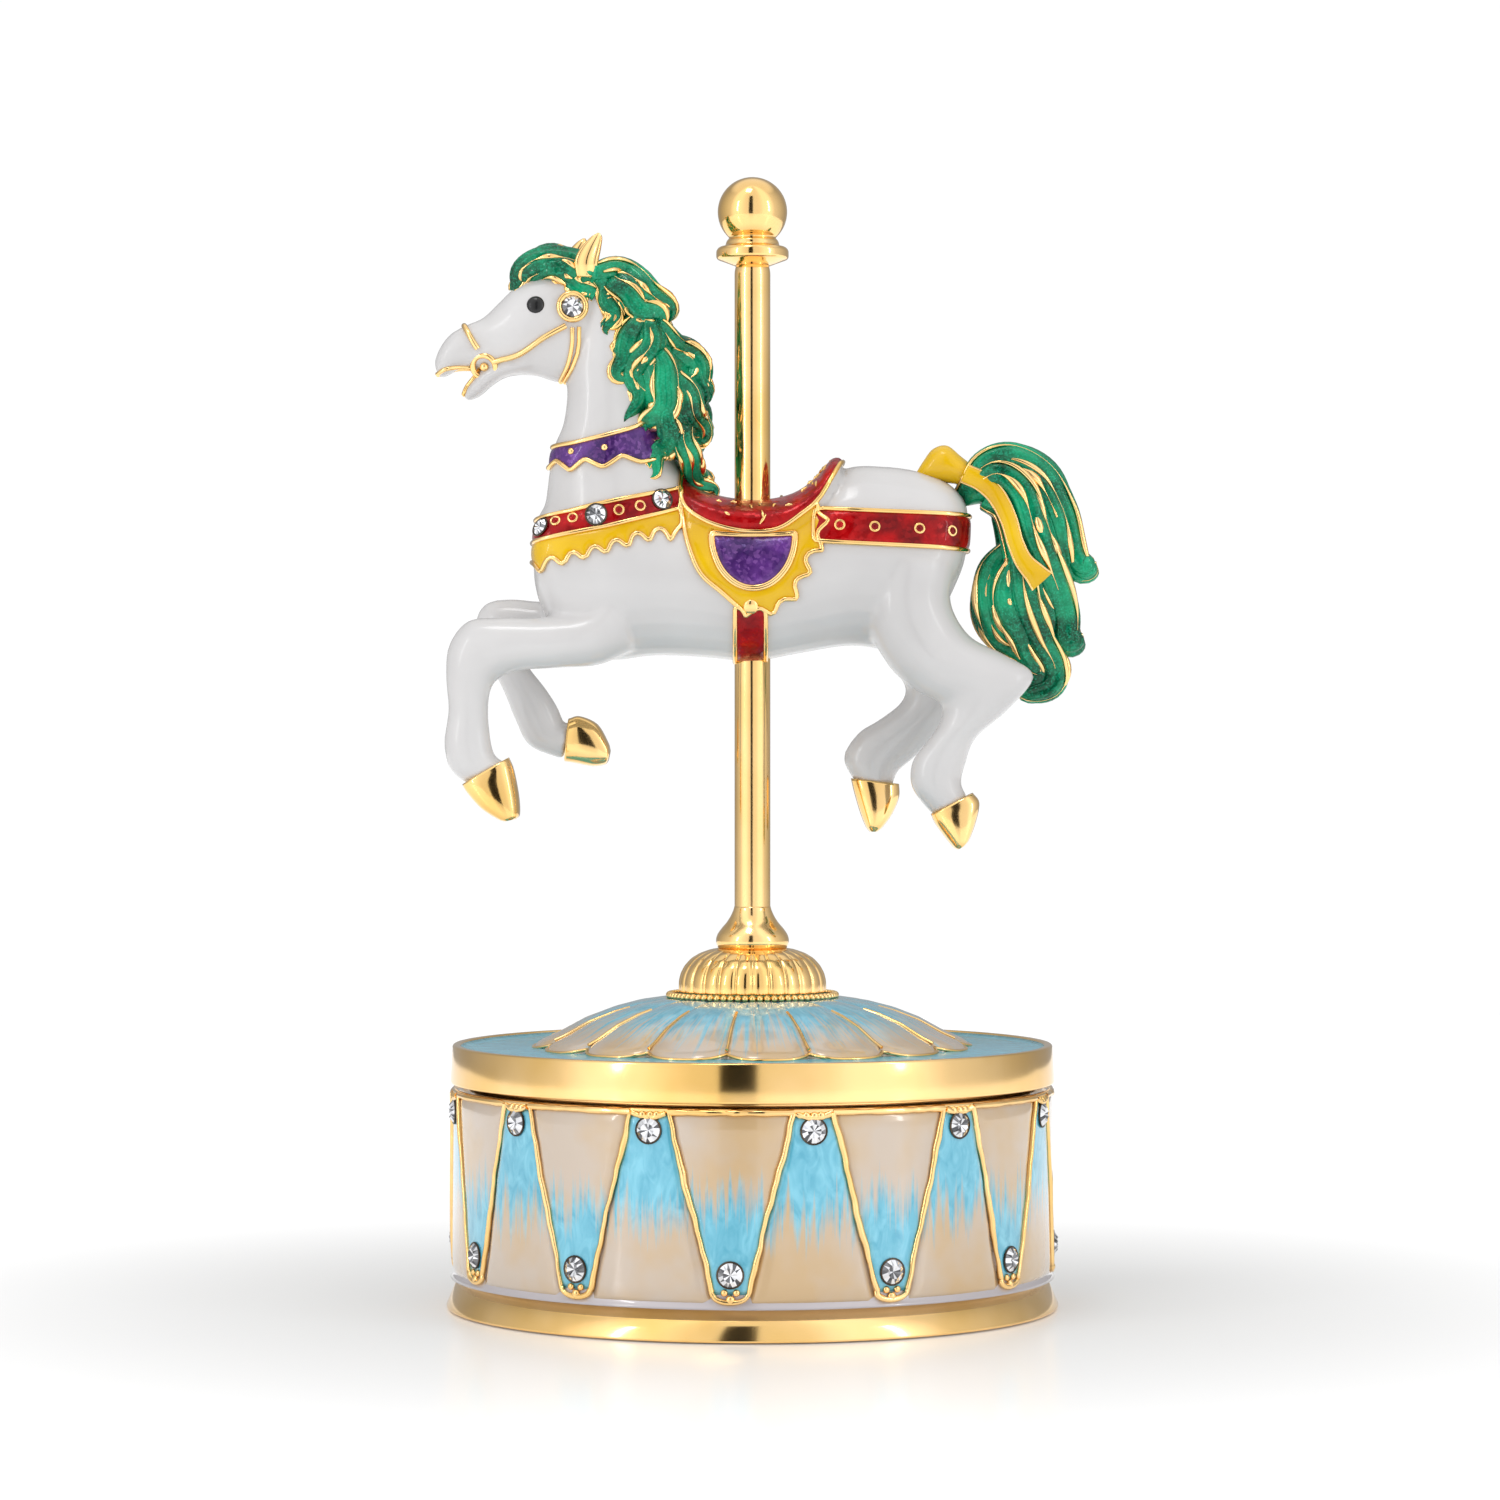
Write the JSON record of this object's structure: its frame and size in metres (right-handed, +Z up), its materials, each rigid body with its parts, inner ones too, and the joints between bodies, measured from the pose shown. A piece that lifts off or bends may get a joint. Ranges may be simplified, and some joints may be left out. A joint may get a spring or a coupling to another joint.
{
  "type": "carousel music box",
  "caption": "Wind-up music box: a round drum with a turntable lid that turns a carousel horse on a pole, wound by a key under the base.",
  "frame": {"origin": "centre of the drum, on the turntable axis, on the underside of the felt pad", "axes": "+Z up along the turntable axis, -X the way the horse faces, -Y the side of the horse that faces the viewer"},
  "size_m": [0.0791, 0.075, 0.1386],
  "materials": {
    "gold": "polished gold plate",
    "white_enamel": "gloss white enamel",
    "green_enamel": "emerald enamel with glitter",
    "yellow_enamel": "gloss yellow enamel",
    "red_enamel": "clear red enamel",
    "purple_enamel": "pearl purple enamel",
    "drum_enamel": "pearl turquoise and cream enamel",
    "brass": "turned",
    "steel": "plain",
    "cast_zinc": "as cast",
    "felt": "wool felt"
  },
  "bodies": {
    "drum": {"drum_shell": "drum_enamel", "base_plate": "steel", "base_screw_1": "steel", "base_screw_2": "steel", "base_screw_3": "steel", "key_well": "steel", "movement_screw_1": "steel", "movement_screw_2": "steel", "movement_screw_3": "steel", "spring_housing": "steel", "mainspring": "steel", "comb": "steel", "comb_screw_1": "steel", "comb_screw_2": "steel", "shaft_bridge": "steel", "cylinder_bracket": "steel", "governor_bracket": "steel", "movement_bedplate": "cast_zinc", "comb_support": "cast_zinc", "felt_pad": "felt"},
    "carousel": {"turntable": "drum_enamel", "turntable_shaft": "steel", "turntable_gear": "brass", "beaded_ring": "gold", "fluted_collar": "gold", "pole_socket": "gold", "pole": "gold", "finial": "gold", "horse_body": "white_enamel", "mane": "green_enamel", "tail": "green_enamel", "tail_bow": "yellow_enamel", "saddle_blanket": "yellow_enamel", "saddle": "red_enamel", "saddle_flap_near": "purple_enamel", "saddle_flap_far": "purple_enamel", "girth_strap_near": "red_enamel", "girth_strap_far": "red_enamel", "breast_collar": "red_enamel", "collar_fringe": "yellow_enamel", "crupper_belt": "red_enamel", "neck_band": "purple_enamel", "bridle": "gold", "ear_near": "gold", "ear_far": "gold", "hoof_front_near": "gold", "hoof_front_far": "gold", "hoof_hind_near": "gold", "hoof_hind_far": "gold"},
    "winding": {"winding_key": "brass", "winding_arbor": "steel", "crown_wheel": "brass", "arbor_gear": "brass"},
    "cylinder": {"pinned_cylinder": "brass", "cylinder_shaft": "steel", "cylinder_gear": "brass"},
    "governor_wheel": {"governor_shaft": "steel", "worm_wheel": "brass"},
    "governor_fly": {"worm": "steel", "fly": "brass"}
  },
  "joints": [
    {"name": "turntable_spin", "type": "hinge", "parent": "drum", "child": "carousel", "pos_m": [0, 0, 0.028], "axis": [0, 0, 1], "continuous": true},
    {"name": "key_wind", "type": "hinge", "parent": "drum", "child": "winding", "pos_m": [0.017, 0, 0.005], "axis": [0, 0, 1], "continuous": true},
    {"name": "cylinder_spin", "type": "hinge", "parent": "drum", "child": "cylinder", "pos_m": [-0.0075, 0, 0.0171], "axis": [1, 0, 0], "continuous": true},
    {"name": "governor_spin", "type": "hinge", "parent": "drum", "child": "governor_wheel", "pos_m": [-0.0186, -0.0075, 0.0171], "axis": [1, 0, 0], "continuous": true},
    {"name": "fly_spin", "type": "hinge", "parent": "drum", "child": "governor_fly", "pos_m": [-0.01975, -0.01362, 0.0171], "axis": [0, 0, 1], "continuous": true}
  ],
  "couplings": [
    {"joint": "key_wind", "follows": "turntable_spin", "ratio": -0.7},
    {"joint": "cylinder_spin", "follows": "turntable_spin", "ratio": -2.1},
    {"joint": "governor_spin", "follows": "turntable_spin", "ratio": 3.15},
    {"joint": "fly_spin", "follows": "turntable_spin", "ratio": 37.8}
  ]
}
